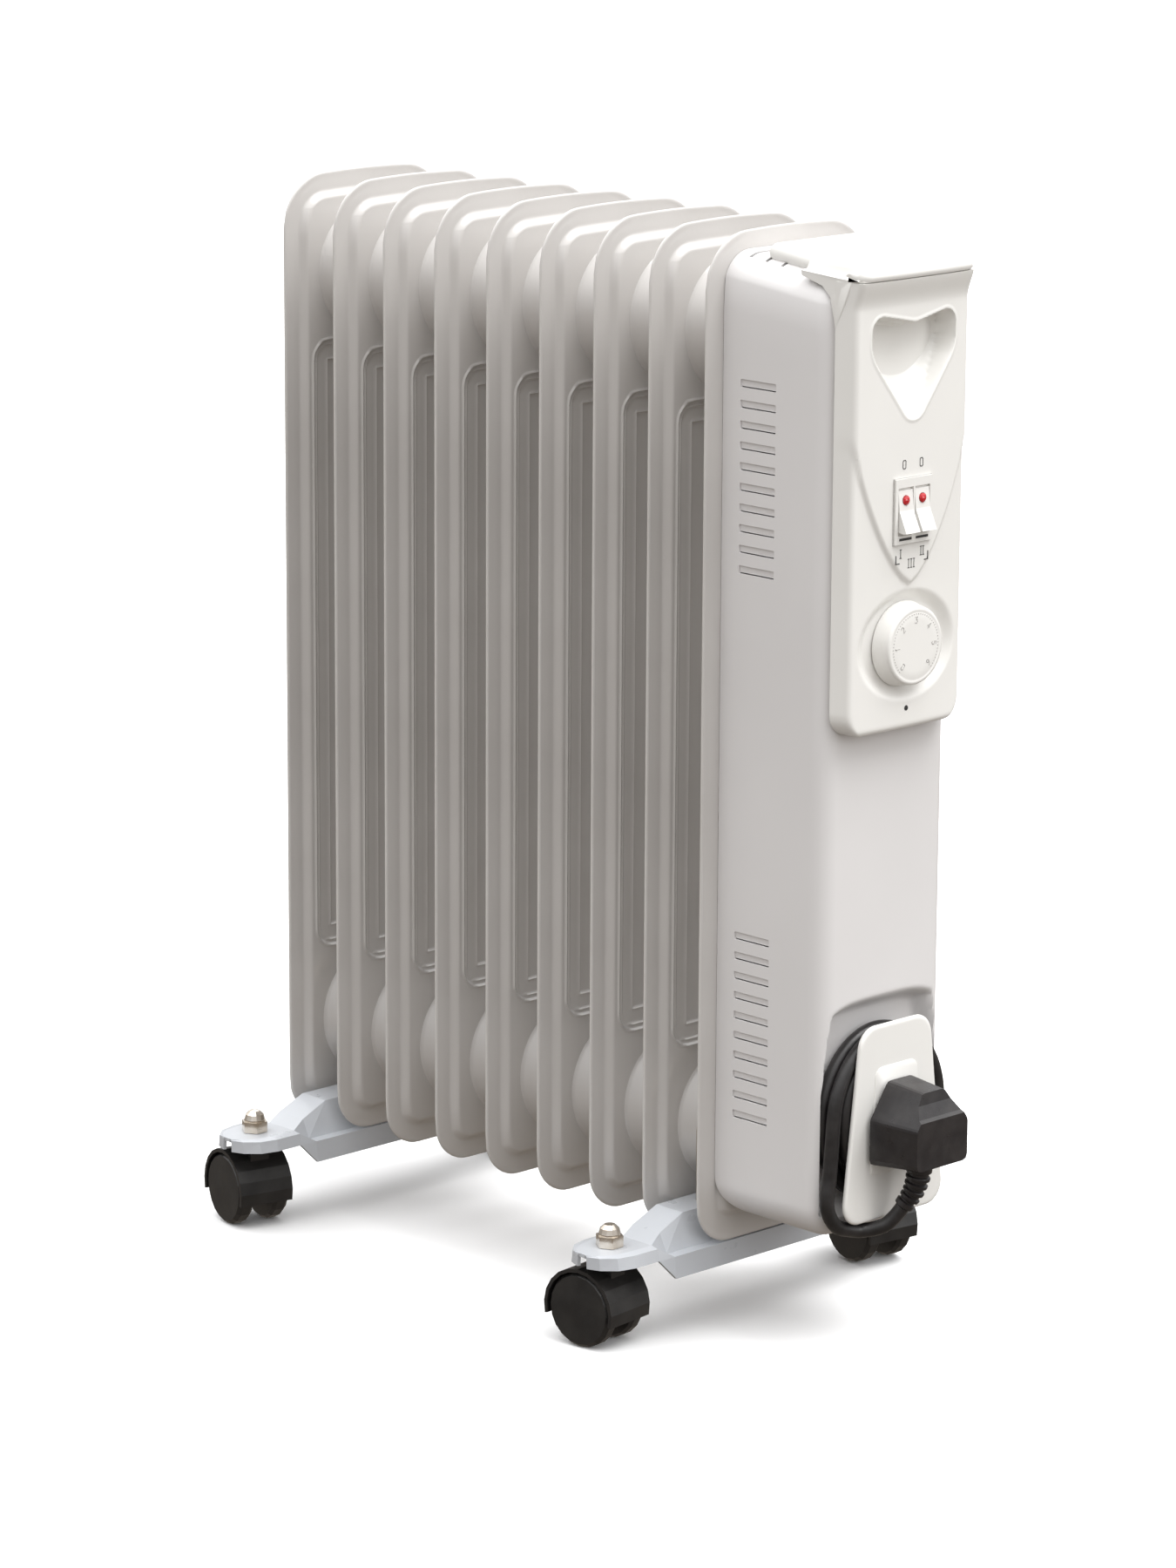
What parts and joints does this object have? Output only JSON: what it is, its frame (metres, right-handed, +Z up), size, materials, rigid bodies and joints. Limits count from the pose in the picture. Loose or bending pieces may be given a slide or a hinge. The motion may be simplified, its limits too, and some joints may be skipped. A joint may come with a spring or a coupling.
{
  "type": "oil filled radiator heater",
  "caption": "White oil filled radiator on twin-wheel castors, with a control panel, two rocker switches, a thermostat knob and its lead wound on the front",
  "frame": {"origin": "floor level under the centre of the heater, its lead and plug left out", "axes": "+Z up, -Y out of the control panel, +X to the right of someone who faces the panel"},
  "size_m": [0.2672, 0.5028, 0.631],
  "materials": {
    "fin_enamel": "stoved white enamel, smooth and slightly glossy",
    "cover_enamel": "fine textured warm white powder coat",
    "panel_plastic": "moulded off-white plastic, satin",
    "foot_enamel": "blue-grey painted pressed steel",
    "nickel": "bright nickel plate, warm tint",
    "steel": "plain zinc-plated steel",
    "brass": "bright brass",
    "castor_plastic": "black nylon, slightly glossy",
    "lead_rubber": "black flexible PVC sheath",
    "plug_plastic": "black moulded PVC",
    "lens_red": "clear red lens",
    "inner_plastic": "dark heat resistant plastic",
    "gasket_fibre": "compressed fibre sealing ring",
    "wire_silicone": "silicone sleeved wires"
  },
  "bodies": {
    "heater": {"fin_1": "fin_enamel", "fin_2": "fin_enamel", "fin_3": "fin_enamel", "fin_4": "fin_enamel", "fin_5": "fin_enamel", "fin_6": "fin_enamel", "fin_7": "fin_enamel", "fin_8": "fin_enamel", "fin_9": "fin_enamel", "heating_element": "steel", "element_gasket": "gasket_fibre", "oil_filler_plug": "steel", "housing_cover": "cover_enamel", "cover_bracket": "steel", "control_panel": "panel_plastic", "grip_pad": "panel_plastic", "switch_body": "panel_plastic", "thermostat_body": "inner_plastic", "thermal_cutout": "steel", "terminal_block": "inner_plastic", "wiring_loom": "wire_silicone", "cord_gland": "inner_plastic", "cord_winder": "panel_plastic", "cord_coil": "lead_rubber", "cord_tail": "lead_rubber", "plug_strain_relief": "plug_plastic", "plug_body": "plug_plastic", "plug_pin_line": "brass", "plug_pin_neutral": "brass", "plug_pin_earth": "brass", "foot_bracket_front": "foot_enamel", "u_bolt_front": "nickel", "wing_nut_front_left": "nickel", "wing_nut_front_right": "nickel", "foot_bracket_rear": "foot_enamel", "u_bolt_rear": "nickel", "wing_nut_rear_left": "nickel", "wing_nut_rear_right": "nickel", "castor_front_left_stem": "steel", "cap_nut_front_left": "nickel", "castor_front_right_stem": "steel", "cap_nut_front_right": "nickel", "castor_rear_left_stem": "steel", "cap_nut_rear_left": "nickel", "castor_rear_right_stem": "steel", "cap_nut_rear_right": "nickel"},
    "knob": {"thermostat_knob": "panel_plastic", "thermostat_shaft": "brass"},
    "rocker_left": {"rocker_left": "panel_plastic", "lens_left": "lens_red"},
    "rocker_right": {"rocker_right": "panel_plastic", "lens_right": "lens_red"},
    "castor_front_left": {"castor_front_left_hood": "castor_plastic"},
    "wheels_front_left": {"castor_front_left_wheels": "castor_plastic"},
    "castor_front_right": {"castor_front_right_hood": "castor_plastic"},
    "wheels_front_right": {"castor_front_right_wheels": "castor_plastic"},
    "castor_rear_left": {"castor_rear_left_hood": "castor_plastic"},
    "wheels_rear_left": {"castor_rear_left_wheels": "castor_plastic"},
    "castor_rear_right": {"castor_rear_right_hood": "castor_plastic"},
    "wheels_rear_right": {"castor_rear_right_wheels": "castor_plastic"}
  },
  "joints": [
    {"name": "thermostat_turn", "type": "hinge", "parent": "heater", "child": "knob", "pos_m": [0, -0.23777, 0.4078], "axis": [0, 1, 0], "range_deg": [0, 270]},
    {"name": "left_switch", "type": "hinge", "parent": "heater", "child": "rocker_left", "pos_m": [-0.0066, -0.23008, 0.4833], "axis": [1, 0, 0], "range_deg": [0, 14]},
    {"name": "right_switch", "type": "hinge", "parent": "heater", "child": "rocker_right", "pos_m": [0.0066, -0.23008, 0.4833], "axis": [1, 0, 0], "range_deg": [0, 14]},
    {"name": "swivel_front_left", "type": "hinge", "parent": "heater", "child": "castor_front_left", "pos_m": [-0.1115, -0.11407, 0.04], "axis": [0, 0, 1], "continuous": true},
    {"name": "roll_front_left", "type": "hinge", "parent": "castor_front_left", "child": "wheels_front_left", "pos_m": [-0.1126, -0.10514, 0.022], "axis": [0.9925, 0.1219, 0], "continuous": true},
    {"name": "swivel_front_right", "type": "hinge", "parent": "heater", "child": "castor_front_right", "pos_m": [0.1115, -0.11407, 0.04], "axis": [0, 0, 1], "continuous": true},
    {"name": "roll_front_right", "type": "hinge", "parent": "castor_front_right", "child": "wheels_front_right", "pos_m": [0.11291, -0.10519, 0.022], "axis": [0.9877, -0.1564, 0], "continuous": true},
    {"name": "swivel_rear_left", "type": "hinge", "parent": "heater", "child": "castor_rear_left", "pos_m": [-0.1115, 0.19392, 0.04], "axis": [0, 0, 1], "continuous": true},
    {"name": "roll_rear_left", "type": "hinge", "parent": "castor_rear_left", "child": "wheels_rear_left", "pos_m": [-0.10948, 0.20269, 0.022], "axis": [0.9744, -0.225, 0], "continuous": true},
    {"name": "swivel_rear_right", "type": "hinge", "parent": "heater", "child": "castor_rear_right", "pos_m": [0.1115, 0.19392, 0.04], "axis": [0, 0, 1], "continuous": true},
    {"name": "roll_rear_right", "type": "hinge", "parent": "castor_rear_right", "child": "wheels_rear_right", "pos_m": [0.11056, 0.20288, 0.022], "axis": [0.9945, 0.1045, 0], "continuous": true}
  ]
}
